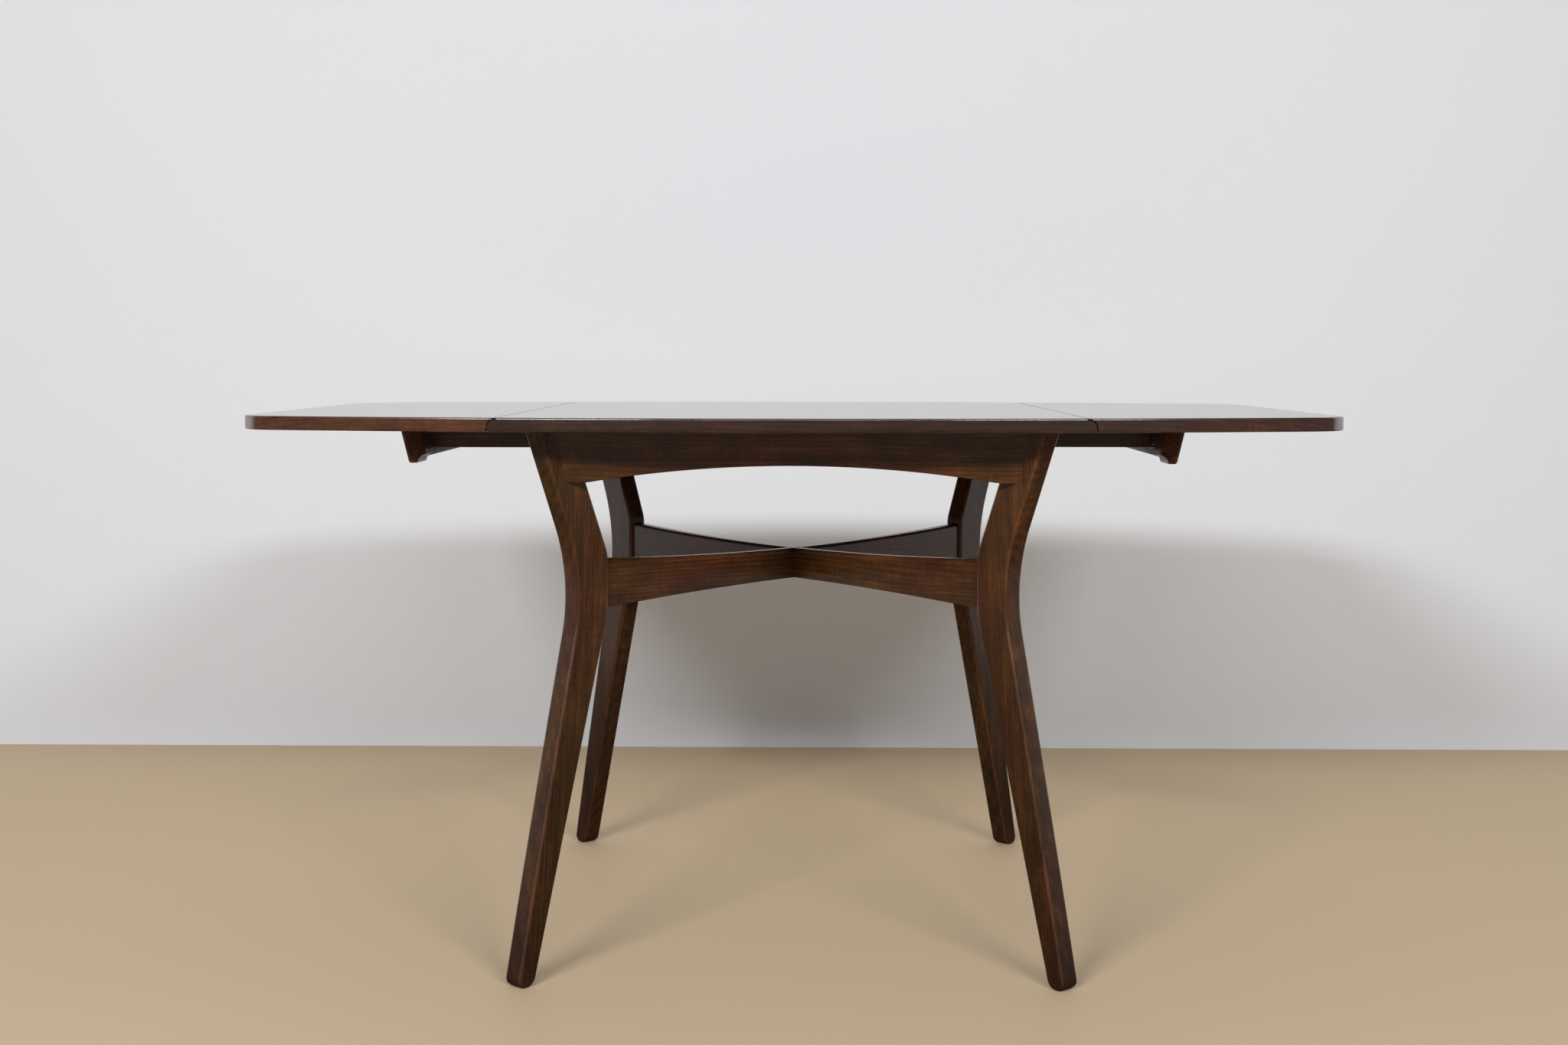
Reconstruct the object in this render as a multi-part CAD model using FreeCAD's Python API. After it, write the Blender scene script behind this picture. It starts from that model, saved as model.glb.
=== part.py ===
import FreeCAD, Part
import math
import os

# Butterfly dining table with two drop leaves on pull-out supports.
# Lengths are in millimetres and angles in degrees.
# The origin is on the floor below the middle of the top. X runs along the open
# table, Y from the front to the back, Z up. It is shown open, supports out.

Vector = FreeCAD.Vector
origin = Vector(0, 0, 0)
along_x = Vector(1, 0, 0)
along_y = Vector(0, 1, 0)
along_z = Vector(0, 0, 1)

# Top
table_height = 740.0
top_thickness = 18.0
open_length = 1430.0
centre_width = 760.0
top_depth = 916.0
side_bow_radius = 2700.0
leaf_corner_radius = 70.0
top_arris = 2.0
under_arris = 1.5

# Rule joint between the centre board and a leaf
joint_quirk = 2.0
joint_clearance = 0.5
leaf_lift = 2.5
seam_margin = 0.15
lip_arris = 0.8

# Rule joint hinge, two to each leaf
hinge_length = 36.0
hinge_inset = 160.0
hinge_inner_reach = 30.0
hinge_outer_reach = 45.0
flap_thickness = 1.6
knuckle_radius = 5.0
pin_radius = 2.0
pin_running_clearance = 0.05
knuckle_gap = 0.3
knuckle_swing_clearance = 0.4
flap_fit = 0.2
flap_lift_room = 0.9

# Frame: its corners are where the aprons' outer faces cross the diagonals
apron_overhang = 103.5
end_overhang = 55.0

# Legs: boards set on the diagonals of the frame
leg_thickness = 30.0
leg_top_inset = 40.0
land_inset = 105.0
land_drop = 165.0
land_length = 79.0
land_round = 40.0
knee_inset = 52.0
knee_drop = 217.0
upper_knee_radius = 250.0
upper_lean = 21.0
lower_knee_radius = 240.0
lower_splay = 13.2
foot_spread = 56.0
foot_width = 28.0
foot_inner_round = 6.0
foot_outer_round = 12.0
leg_arris = 2.5

# Crossed stretchers, halved into each other
stretcher_thickness = 20.0
stretcher_top_inset = 8.0
stretcher_low_inset = 5.0
stretcher_sag = 12.0
stretcher_rise = 11.0
stretcher_arris = 1.0
tenon_thickness = 10.0
tenon_depth = 25.0
tenon_shoulder = 10.0
mortise_slack = 0.5
glue_line = 0.05

# Front and back aprons
apron_lean = 11.0
apron_thickness = 20.0
apron_end_height = 69.0
apron_middle_height = 46.5
apron_arch_inset = 57.0
apron_tenon_thickness = 8.0
apron_tenon_depth = 13.0
apron_tenon_top_drop = 14.0
apron_tenon_low_drop = 54.0

# Cross rails that tie the aprons together and guide the lopers
rail_thickness = 20.0
rail_inset = 75.0
side_rail_height = 51.0
middle_rail_height = 41.0
rail_housing = 6.0

# Supports: an end rail carried by two sliding lopers
slide_gap = 0.3
support_travel = 165.0
end_rail_stand = 15.0
end_rail_thickness = 20.0
end_rail_height = 43.5
end_rail_cove = 11.0
end_rail_round = 2.5
grip_inset = 86.5
grip_height = 17.0
grip_inner_round = 8.0
grip_outer_round = 3.0
mitre_gap = 0.3
loper_width = 22.0
loper_height = 27.0
loper_inset = 114.5
loper_pair_gap = 12.0
loper_inner_overlap = 28.0
loper_housing = 6.0
stop_length = 20.0
stop_height = 8.0
stop_gap = 0.3

# Round head screws that hold the top down on the cross rails
top_screw_head_radius = 4.0
top_screw_head_height = 2.5
top_screw_shank_radius = 2.0
top_screw_length = 40.0
top_screw_bite = 12.0
top_screw_fit = 0.05
counterbore_radius = 5.0

# One overrun serves every cut, and one tolerance every comparison
overrun = 60.0
match_tolerance = 0.04

# Top and rule joint
underside = table_height - top_thickness
joint_radius = top_thickness - joint_quirk - knuckle_radius
joint_x = centre_width / 2 - joint_radius
joint_z = underside + knuckle_radius
joint_seam = (joint_quirk + joint_radius) * math.sin(math.radians(leaf_lift)) + seam_margin
hinge_spacing = top_depth / 2 - hinge_inset

# Corners of the frame
apron_reach = top_depth / 2 - apron_overhang
corner_x = centre_width / 2 - end_overhang
corner_reach = math.hypot(corner_x, apron_reach)
leg_angle = math.degrees(math.atan2(apron_reach, corner_x))
lean_slope = math.tan(math.radians(apron_lean))
lean_cosine = math.cos(math.radians(apron_lean))

# Legs, as reaches along the diagonal and heights above the floor
leg_top_inner_reach = corner_reach - leg_top_inset
land_reach = corner_reach - land_inset
land_top = underside - land_drop
land_bottom = land_top - land_length
knee_reach = corner_reach - knee_inset
knee_height = underside - knee_drop
foot_outer_reach = corner_reach + foot_spread
foot_inner_reach = foot_outer_reach - foot_width

# Stretchers, aprons and rails
stretcher_end_top = land_top - stretcher_top_inset
stretcher_end_bottom = land_bottom + stretcher_low_inset
stretcher_middle_top = stretcher_end_top - stretcher_sag
stretcher_middle_bottom = stretcher_end_bottom + stretcher_rise
apron_arch_half_span = corner_x - apron_arch_inset
rail_spacing = corner_x - rail_inset

# Supports
support_top = underside - slide_gap
loper_bottom = support_top - loper_height
end_rail_reach = corner_x + end_rail_stand
grip_half_span = apron_reach - grip_inset
left_loper_spacing = apron_reach - loper_inset
right_loper_spacing = left_loper_spacing - loper_width - loper_pair_gap
top_screw_spacing = right_loper_spacing / 2


def box(low, high):
    size = high.sub(low)
    return Part.makeBox(size.x, size.y, size.z, low)


def cylinder(radius, length, base, axis):
    return Part.makeCylinder(radius, length, base, axis)


def line(start, end):
    return Part.LineSegment(start, end).toShape()


def arc(start, middle, end):
    return Part.Arc(start, middle, end).toShape()


def extruded(edges, direction):
    return Part.Face(Part.Wire(Part.__sortEdges__(edges))).extrude(direction)


def polygon(points):
    return [line(a, b) for a, b in zip(points, points[1:] + points[:1])]


def mirrored_x(shape):
    return shape.mirror(origin, along_x)


def mirrored_y(shape):
    return shape.mirror(origin, along_y)


def turned(shape, degrees):
    copy = shape.copy()
    copy.rotate(origin, along_z, degrees)
    return copy


def moved(shape, offset):
    copy = shape.copy()
    copy.translate(offset)
    return copy


def cut_all(shape, tools):
    return shape.cut(Part.makeCompound(tools))


def rounded(shape, radius, wanted):
    edges = [edge for edge in shape.Edges if wanted(edge)]
    return shape.makeFillet(radius, edges)


def bevelled(shape, size, wanted):
    edges = [edge for edge in shape.Edges if wanted(edge)]
    return shape.makeChamfer(size, edges)


def near(a, b):
    return abs(a - b) < match_tolerance


def middle_of(edge):
    return edge.valueAt((edge.FirstParameter + edge.LastParameter) / 2)


def along_y_at(edge, x, z):
    centre = edge.BoundBox.Center
    return near(centre.x, x) and near(centre.z, z) and near(edge.BoundBox.XLength, 0)


def save(name, shape):
    shape.exportStep("parts/" + name + ".step")
    print(name, len(shape.Solids), "solid(s)", round(shape.Volume / 1000), "cm3")


# Half the depth of the top at a distance from its middle, on the bowed side
def half_depth(x):
    return top_depth / 2 - side_bow_radius + math.sqrt(side_bow_radius ** 2 - x ** 2)


# The open top in one piece, before the rule joints part it
def whole_top():
    end_x = open_length / 2
    end_y = half_depth(end_x)
    corners = [Vector(end_x, -end_y, underside), Vector(end_x, end_y, underside),
               Vector(-end_x, end_y, underside), Vector(-end_x, -end_y, underside)]
    outline = [line(corners[0], corners[1]),
               arc(corners[1], Vector(0, top_depth / 2, underside), corners[2]),
               line(corners[2], corners[3]),
               arc(corners[3], Vector(0, -top_depth / 2, underside), corners[0])]
    board = extruded(outline, along_z * top_thickness)
    board = rounded(board, leaf_corner_radius, lambda e: near(e.BoundBox.ZLength, top_thickness))
    board = bevelled(board, top_arris, lambda e: near(e.BoundBox.ZMin, table_height))
    return bevelled(board, under_arris, lambda e: near(e.BoundBox.ZMax, underside))


# The centre board keeps the rounded half of the rule joint
def centre_outline():
    quirk_z = joint_z + joint_radius
    lip_x = joint_x + joint_radius
    slope_x = joint_x + joint_radius * math.sqrt(0.5)
    slope_z = joint_z + joint_radius * math.sqrt(0.5)
    over = table_height + overrun
    under = underside - overrun
    start = -top_depth
    edges = [line(Vector(-joint_x, start, over), Vector(joint_x, start, over)),
             line(Vector(joint_x, start, over), Vector(joint_x, start, quirk_z)),
             arc(Vector(joint_x, start, quirk_z), Vector(slope_x, start, slope_z),
                 Vector(lip_x, start, joint_z)),
             line(Vector(lip_x, start, joint_z), Vector(lip_x, start, under)),
             line(Vector(lip_x, start, under), Vector(-lip_x, start, under)),
             line(Vector(-lip_x, start, under), Vector(-lip_x, start, joint_z)),
             arc(Vector(-lip_x, start, joint_z), Vector(-slope_x, start, slope_z),
                 Vector(-joint_x, start, quirk_z)),
             line(Vector(-joint_x, start, quirk_z), Vector(-joint_x, start, over))]
    return extruded(edges, along_y * (top_depth * 2))


# The leaf keeps the hollow half, on the same centre with the running clearance
def leaf_outline():
    hollow = joint_radius + joint_clearance
    seam_x = joint_x + joint_seam
    seam_z = joint_z + math.sqrt(hollow ** 2 - joint_seam ** 2)
    slope_x = joint_x + hollow * math.sqrt(0.5)
    slope_z = joint_z + hollow * math.sqrt(0.5)
    over = table_height + overrun
    under = underside - overrun
    far = open_length
    start = -top_depth
    edges = [line(Vector(far, start, over), Vector(seam_x, start, over)),
             line(Vector(seam_x, start, over), Vector(seam_x, start, seam_z)),
             arc(Vector(seam_x, start, seam_z), Vector(slope_x, start, slope_z),
                 Vector(joint_x + hollow, start, joint_z)),
             line(Vector(joint_x + hollow, start, joint_z), Vector(joint_x + hollow, start, under)),
             line(Vector(joint_x + hollow, start, under), Vector(far, start, under)),
             line(Vector(far, start, under), Vector(far, start, over))]
    return extruded(edges, along_y * (top_depth * 2))


# A shallow groove eases the two lips that meet at a seam
def seam_groove():
    middle = joint_x + joint_seam / 2
    half = lip_arris + joint_seam / 2 + overrun
    start = -top_depth
    section = [Vector(middle - half, start, table_height + overrun),
               Vector(middle + half, start, table_height + overrun),
               Vector(middle, start, table_height + overrun - half)]
    return extruded(polygon(section), along_y * (top_depth * 2))


# A round head screw stands upright, its head in a counterbore
def top_screw(at, grow):
    shank = cylinder(top_screw_shank_radius + grow, top_screw_length + grow, at, along_z)
    head = cylinder(top_screw_head_radius, top_screw_head_height, at, -along_z)
    return shank.fuse(head)


def hinge_places():
    return [-hinge_spacing, hinge_spacing]


def knuckle(y_from, y_to):
    return cylinder(knuckle_radius, y_to - y_from, Vector(joint_x, y_from, joint_z), along_y)


def hinge_pin(y, grow):
    start = Vector(joint_x, y - hinge_length / 2, joint_z)
    return cylinder(pin_radius + grow, hinge_length, start, along_y)


def pin_bore(y):
    return hinge_pin(y, pin_running_clearance)


# The flap on the centre board carries the two outer knuckles
def fixed_flap(y):
    half = hinge_length / 2
    third = hinge_length / 6
    plate = box(Vector(joint_x - hinge_inner_reach, y - half, underside),
                Vector(joint_x, y + half, underside + flap_thickness))
    swing = knuckle_radius + knuckle_swing_clearance
    slot = box(Vector(joint_x - swing, y - third - knuckle_gap / 2, underside - overrun),
               Vector(joint_x + swing, y + third + knuckle_gap / 2, underside + overrun))
    shape = plate.fuse(knuckle(y - half, y + half)).cut(slot)
    return shape.cut(pin_bore(y))


# The flap on the leaf carries the middle knuckle and reaches past the joint
def moving_flap(y):
    half = hinge_length / 2
    third = hinge_length / 6
    swing = knuckle_radius + knuckle_swing_clearance
    plate = box(Vector(joint_x + swing, y - half, underside),
                Vector(joint_x + hinge_outer_reach, y + half, underside + flap_thickness))
    tongue = box(Vector(joint_x, y - third + knuckle_gap / 2, underside),
                 Vector(joint_x + swing, y + third - knuckle_gap / 2, underside + flap_thickness))
    barrel = knuckle(y - third + knuckle_gap / 2, y + third - knuckle_gap / 2)
    return plate.fuse(tongue).fuse(barrel).cut(pin_bore(y))


# The centre board is let out for the flap, the knuckles and the moving flap's neck
def centre_hinge_cuts(y):
    half = hinge_length / 2 + flap_fit
    room = knuckle_radius + knuckle_swing_clearance
    flap_bed = box(Vector(joint_x - hinge_inner_reach - flap_fit, y - half, underside - overrun),
                   Vector(joint_x, y + half, underside + flap_thickness))
    barrel_bed = cylinder(room, half * 2, Vector(joint_x, y - half, joint_z), along_y)
    barrel_mouth = box(Vector(joint_x - room, y - half, underside - overrun),
                       Vector(joint_x + room, y + half, joint_z))
    neck_bed = box(Vector(joint_x, y - half, underside - overrun),
                   Vector(centre_width, y + half, underside + flap_thickness + flap_lift_room))
    return [flap_bed, barrel_bed, barrel_mouth, neck_bed]


def leaf_hinge_cut(y):
    half = hinge_length / 2 + flap_fit
    return box(Vector(joint_x, y - half, underside - overrun),
               Vector(joint_x + hinge_outer_reach + flap_fit, y + half, underside + flap_thickness))


# The screws that come up through the side rails into the centre board
def top_screw_places():
    z = underside + top_screw_bite - top_screw_length
    return [Vector(x, y, z) for x in (-rail_spacing, rail_spacing)
            for y in (-top_screw_spacing, top_screw_spacing)]


# An arc from a point along a heading to an end point
def tangent_arc(start, heading, end):
    chord = end.sub(start)
    turn = 2 * heading.getAngle(chord)
    side = 1 if heading.cross(chord).y > 0 else -1
    way = FreeCAD.Rotation(along_y, math.degrees(side * turn / 4)).multVec(heading).normalize()
    reach = chord.Length / (2 * math.cos(turn / 4))
    return arc(start, start.add(way * reach), end)


# The leg's side view, with x as the reach along the diagonal of the frame
def leg_board():
    lean = math.radians(upper_lean)
    splay = math.radians(lower_splay)
    knee = Vector(knee_reach, 0, knee_height)
    upper_x = knee_reach + upper_knee_radius * (1 - math.cos(lean))
    upper_z = knee_height + upper_knee_radius * math.sin(lean)
    upper_half = Vector(knee_reach + upper_knee_radius * (1 - math.cos(lean / 2)), 0,
                        knee_height + upper_knee_radius * math.sin(lean / 2))
    top_x = upper_x + (underside - upper_z) * math.tan(lean)
    lower_x = knee_reach + lower_knee_radius * (1 - math.cos(splay))
    lower_z = knee_height - lower_knee_radius * math.sin(splay)
    lower_half = Vector(knee_reach + lower_knee_radius * (1 - math.cos(splay / 2)), 0,
                        knee_height - lower_knee_radius * math.sin(splay / 2))
    upper_end = Vector(upper_x, 0, upper_z)
    lower_end = Vector(lower_x, 0, lower_z)
    top_outer = Vector(top_x, 0, underside)
    top_inner = Vector(leg_top_inner_reach, 0, underside)
    land_high = Vector(land_reach, 0, land_top)
    land_low = Vector(land_reach, 0, land_bottom)
    foot_inner = Vector(foot_inner_reach, 0, 0)
    foot_outer = Vector(foot_outer_reach, 0, 0)
    shank_heading = Vector(math.sin(splay), 0, -math.cos(splay))
    edges = [line(top_inner, land_high), line(land_high, land_low), line(land_low, foot_inner),
             line(foot_inner, foot_outer), tangent_arc(lower_end, shank_heading, foot_outer),
             arc(lower_end, lower_half, knee), arc(knee, upper_half, upper_end),
             line(upper_end, top_outer), line(top_outer, top_inner)]
    board = extruded(edges, along_y * leg_thickness)
    board = moved(board, Vector(0, -leg_thickness / 2, 0))
    for corner in (land_high, land_low):
        board = rounded(board, land_round, lambda e: along_y_at(e, corner.x, corner.z))
    board = rounded(board, foot_inner_round, lambda e: along_y_at(e, foot_inner_reach, 0))
    board = rounded(board, foot_outer_round, lambda e: along_y_at(e, foot_outer_reach, 0))
    wide = leg_thickness / 2
    return bevelled(board, leg_arris,
                    lambda e: near(abs(middle_of(e).y), wide) and near(e.BoundBox.YLength, 0)
                    and not near(middle_of(e).z, underside))


def stretcher_tenon(grow, slack):
    half = tenon_thickness / 2 + grow
    return box(Vector(land_reach, -half, stretcher_end_bottom + tenon_shoulder - grow),
               Vector(land_reach + tenon_depth + slack, half, stretcher_end_top - tenon_shoulder + grow))


# A board along X that leans outward to the top, inset from the apron's outer face
def leaned_board(inset, thickness, high, low):
    outer_high = -apron_reach + inset + (underside - high) * lean_slope
    outer_low = -apron_reach + inset + (underside - low) * lean_slope
    across = thickness / lean_cosine
    section = [Vector(-apron_reach, outer_high, high), Vector(-apron_reach, outer_high + across, high),
               Vector(-apron_reach, outer_low + across, low), Vector(-apron_reach, outer_low, low)]
    return extruded(polygon(section), along_x * (apron_reach * 2))


# The tenons at both ends of the front apron, as one bar that stops inside the legs
def apron_tenon_bar(grow, slack):
    inset = (apron_thickness - apron_tenon_thickness) / lean_cosine / 2 - grow
    bar = leaned_board(inset, apron_tenon_thickness + grow * 2, underside - apron_tenon_top_drop + grow,
                       underside - apron_tenon_low_drop - grow)
    trimmed = cut_all(bar, diagonal_slabs(-apron_tenon_depth - slack))
    return piece_through(trimmed, apron_inside())


def apron_inside():
    drop = apron_tenon_top_drop * 2
    return Vector(0, -apron_reach + drop * lean_slope + apron_thickness / lean_cosine / 2, underside - drop)


def front_right_leg():
    board = leg_board().cut(stretcher_tenon(glue_line, mortise_slack))
    return turned(board, -leg_angle).cut(apron_tenon_bar(glue_line, mortise_slack))


# A slab as thick as the legs, standing on both diagonals, trims what ends at a leg
def diagonal_slabs(gap):
    half = leg_thickness / 2 + gap
    slab = box(Vector(-open_length, -half, -overrun), Vector(open_length, half, table_height + overrun))
    return [turned(slab, leg_angle), turned(slab, -leg_angle)]


def piece_through(shape, point):
    return [solid for solid in shape.Solids if solid.isInside(point, match_tolerance, True)][0]


# The front apron leans outward to the top and is arched below
def front_apron():
    low = underside - apron_end_height
    span = apron_arch_half_span
    crown = underside - apron_middle_height
    start = -top_depth
    arch = [arc(Vector(-span, start, low), Vector(0, start, crown), Vector(span, start, low)),
            line(Vector(span, start, low), Vector(span, start, low - overrun)),
            line(Vector(span, start, low - overrun), Vector(-span, start, low - overrun)),
            line(Vector(-span, start, low - overrun), Vector(-span, start, low))]
    board = leaned_board(0, apron_thickness, underside, low).cut(extruded(arch, along_y * top_depth))
    board = piece_through(cut_all(board, diagonal_slabs(0)), apron_inside())
    beds = [cross_rail_blank(x, height, glue_line)
            for x, height in ((-rail_spacing, side_rail_height), (0, middle_rail_height),
                              (rail_spacing, side_rail_height))]
    return cut_all(board.fuse(apron_tenon_bar(0, 0)), beds)


# A cross rail is let into both aprons and follows their lean at its ends
def cross_rail_blank(x, height, grow):
    low = underside - height
    end_top = apron_reach - apron_thickness / lean_cosine + rail_housing
    end_low = end_top - height * lean_slope
    half = rail_thickness / 2 + grow
    section = [Vector(x - half, -end_top, underside), Vector(x - half, end_top, underside),
               Vector(x - half, end_low, low), Vector(x - half, -end_low, low)]
    return extruded(polygon(section), along_x * (half * 2))


def loper_notch(x, y):
    half = loper_width / 2 + slide_gap
    return box(Vector(x - rail_thickness, y - half, loper_bottom - slide_gap),
               Vector(x + rail_thickness, y + half, underside + overrun))


def cross_rail(x, height, spacings):
    notches = [loper_notch(x, side * spacing) for spacing in spacings for side in (-1, 1)]
    holes = []
    for at in top_screw_places():
        if near(at.x, x):
            holes.append(cylinder(top_screw_shank_radius + top_screw_fit, table_height, at, along_z))
            holes.append(cylinder(counterbore_radius, overrun, Vector(at.x, at.y, at.z - overrun), along_z))
    return cut_all(cross_rail_blank(x, height, 0), notches + holes)


# The finger recess under an end rail, open below, between the rail's two low ends
def finger_recess():
    low = support_top - end_rail_height
    high = low + grip_height
    start = -end_rail_reach - overrun
    bend = 1 - math.sqrt(0.5)
    flare = grip_half_span + grip_outer_round
    corner = grip_half_span - grip_inner_round
    edges = [line(Vector(start, -flare, low - overrun), Vector(start, flare, low - overrun)),
             line(Vector(start, -corner, high), Vector(start, corner, high))]
    for side in (-1, 1):
        edges += [line(Vector(start, side * flare, low - overrun), Vector(start, side * flare, low)),
                  arc(Vector(start, side * flare, low),
                      Vector(start, side * (grip_half_span + grip_outer_round * bend), low + grip_outer_round * bend),
                      Vector(start, side * grip_half_span, low + grip_outer_round)),
                  line(Vector(start, side * grip_half_span, low + grip_outer_round),
                       Vector(start, side * grip_half_span, high - grip_inner_round)),
                  arc(Vector(start, side * grip_half_span, high - grip_inner_round),
                      Vector(start, side * (grip_half_span - grip_inner_round * bend), high - grip_inner_round * bend),
                      Vector(start, side * corner, high))]
    return extruded(edges, along_x * (overrun * 2))


# A left support is made pushed in, then drawn out to its travel
def end_rail(spacing):
    high = support_top
    low = support_top - end_rail_height
    across = end_rail_thickness / lean_cosine
    outer_high = -end_rail_reach
    outer_low = outer_high + end_rail_height * lean_slope
    section = [Vector(outer_high, -apron_reach, high), Vector(outer_high + across, -apron_reach, high),
               Vector(outer_low + across, -apron_reach, low), Vector(outer_low, -apron_reach, low)]
    board = extruded(polygon(section), along_y * (apron_reach * 2))
    board = rounded(board, end_rail_round, lambda e: along_y_at(e, outer_low, low))
    cove_start = Vector(outer_low + across, -apron_reach, low)
    finger_cove = cylinder(end_rail_cove, apron_reach * 2, cove_start, along_y)
    trimmed = cut_all(board.cut(finger_cove), diagonal_slabs(mitre_gap) + [finger_recess()])
    board = piece_through(trimmed, Vector(outer_high + across / 2, 0, high - loper_height / 2))
    board = moved(board, Vector(-support_travel, 0, 0))
    return cut_all(board, [loper_blank(-spacing), loper_blank(spacing)])


def loper_outer_end():
    return end_rail_reach + support_travel - end_rail_thickness / lean_cosine + loper_housing


def loper_blank(y):
    half = loper_width / 2
    return box(Vector(-loper_outer_end(), y - half, loper_bottom),
               Vector(rail_thickness / 2 + loper_inner_overlap, y + half, support_top))


# A block under the loper meets the middle rail when the support is fully out
def loper_stop(y):
    half = loper_width / 2
    start = rail_thickness / 2 + stop_gap
    return box(Vector(start, y - half, loper_bottom - stop_height),
               Vector(start + stop_length, y + half, loper_bottom))


# A stretcher board with arched edges and a tenon at each end
def stretcher_board():
    reach = land_reach
    half = stretcher_thickness / 2
    points = [Vector(-reach, -half, stretcher_end_top), Vector(0, -half, stretcher_middle_top),
              Vector(reach, -half, stretcher_end_top), Vector(reach, -half, stretcher_end_bottom),
              Vector(0, -half, stretcher_middle_bottom), Vector(-reach, -half, stretcher_end_bottom)]
    edges = [arc(points[0], points[1], points[2]), line(points[2], points[3]),
             arc(points[3], points[4], points[5]), line(points[5], points[0])]
    board = extruded(edges, along_y * stretcher_thickness)
    return bevelled(board, stretcher_arris,
                    lambda e: near(e.BoundBox.YLength, 0) and e.BoundBox.XLength > reach)


def halving(angle, low, high):
    half = stretcher_thickness / 2 + glue_line
    return turned(box(Vector(-stretcher_thickness * 2, -half, low),
                      Vector(stretcher_thickness * 2, half, high)), angle)


def stretcher(angle, other_angle, low, high):
    tenon = stretcher_tenon(0, 0)
    board = stretcher_board().fuse(tenon).fuse(mirrored_x(tenon))
    return turned(board, angle).cut(halving(other_angle, low, high))


os.makedirs("parts", exist_ok=True)

# Top boards
top = whole_top()
centre_cuts = [seam_groove(), mirrored_x(seam_groove())]
leaf_cuts = [seam_groove()]
for place in hinge_places():
    cuts = centre_hinge_cuts(place)
    centre_cuts += cuts + [mirrored_x(cut) for cut in cuts]
    leaf_cuts.append(leaf_hinge_cut(place))
centre_cuts += [top_screw(at, top_screw_fit) for at in top_screw_places()]
save("top_centre", cut_all(top.common(centre_outline()), centre_cuts))
leaf = cut_all(top.common(leaf_outline()), leaf_cuts)
save("leaf_right", leaf)
save("leaf_left", mirrored_x(leaf))

# Hinges
for name, place in zip(("front", "back"), hinge_places()):
    for side, placed in (("right", lambda shape: shape), ("left", mirrored_x)):
        save("hinge_" + side + "_" + name + "_fixed_flap", placed(fixed_flap(place)))
        save("hinge_" + side + "_" + name + "_moving_flap", placed(moving_flap(place)))
        save("hinge_" + side + "_" + name + "_pin", placed(hinge_pin(place, 0)))

# Legs
leg = front_right_leg()
save("leg_front_right", leg)
save("leg_front_left", mirrored_x(leg))
save("leg_back_right", mirrored_y(leg))
save("leg_back_left", mirrored_y(mirrored_x(leg)))

# Aprons
apron = front_apron()
save("apron_front", apron)
save("apron_back", mirrored_y(apron))

# Cross rails and the screws that hold the top
save("cross_rail_left", cross_rail(-rail_spacing, side_rail_height, [left_loper_spacing]))
save("cross_rail_middle", cross_rail(0, middle_rail_height, [left_loper_spacing, right_loper_spacing]))
save("cross_rail_right", cross_rail(rail_spacing, side_rail_height, [right_loper_spacing]))
save("top_screws", Part.makeCompound([top_screw(at, 0) for at in top_screw_places()]))

# Stretchers
half_height = (stretcher_middle_top + stretcher_middle_bottom) / 2
save("stretcher_under", stretcher(leg_angle, -leg_angle, half_height, table_height))
save("stretcher_over", stretcher(-leg_angle, leg_angle, 0, half_height))

# Supports, each pair of lopers on its own spacing so that the pairs pass each other
for side, spacing, placed in (("left", left_loper_spacing, lambda shape: shape),
                              ("right", right_loper_spacing, mirrored_x)):
    save("end_rail_" + side, placed(end_rail(spacing)))
    for name, place in (("front", -spacing), ("back", spacing)):
        save("loper_" + side + "_" + name, placed(loper_blank(place)))
        save("loper_stop_" + side + "_" + name, placed(loper_stop(place)))
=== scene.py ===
# %% [markdown]
# # A drop-leaf dining table in dark stained wood
# The table stands open: a centre board, two leaves on rule joints, four curved legs set on the
# diagonals of the frame, two crossed stretchers, and a pull-out support under each leaf. The
# measured solids come in first, as a fixed frame. Every board is then rebuilt around them with
# eased edges and smooth curves, because a plain solid has none of the soft light lines that a
# sanded and lacquered board shows along its arrises.

# %% Load the frame
import bpy
import bmesh
import math
from mathutils import Matrix, Vector


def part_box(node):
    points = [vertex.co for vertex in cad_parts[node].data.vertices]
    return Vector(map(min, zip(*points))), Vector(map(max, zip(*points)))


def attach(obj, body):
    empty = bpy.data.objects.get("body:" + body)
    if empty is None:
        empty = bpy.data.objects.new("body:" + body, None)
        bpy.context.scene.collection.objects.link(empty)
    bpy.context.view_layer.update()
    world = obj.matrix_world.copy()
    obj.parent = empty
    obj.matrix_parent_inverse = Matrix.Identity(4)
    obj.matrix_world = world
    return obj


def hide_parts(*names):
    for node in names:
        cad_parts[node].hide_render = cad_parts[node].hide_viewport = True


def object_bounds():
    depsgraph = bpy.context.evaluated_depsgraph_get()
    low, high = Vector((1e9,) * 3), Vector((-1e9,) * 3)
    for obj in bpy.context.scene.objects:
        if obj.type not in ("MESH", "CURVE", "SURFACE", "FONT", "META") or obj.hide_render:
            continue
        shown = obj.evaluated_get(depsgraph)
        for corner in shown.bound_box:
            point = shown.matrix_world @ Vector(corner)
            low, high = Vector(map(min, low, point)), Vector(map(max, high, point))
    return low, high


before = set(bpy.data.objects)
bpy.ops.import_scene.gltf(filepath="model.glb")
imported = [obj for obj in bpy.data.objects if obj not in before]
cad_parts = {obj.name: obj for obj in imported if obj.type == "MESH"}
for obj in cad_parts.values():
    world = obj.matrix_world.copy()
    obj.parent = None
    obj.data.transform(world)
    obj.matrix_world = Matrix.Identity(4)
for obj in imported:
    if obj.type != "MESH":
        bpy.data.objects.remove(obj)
cad_low, cad_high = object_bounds()

# %% [markdown]
# Furniture makers think in millimetres and Blender in metres, so one factor turns one into the
# other. The heights come from the frame's own boxes. The reaches of the legs are measured along
# the diagonal of the frame, outward from the middle of the table.

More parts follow.
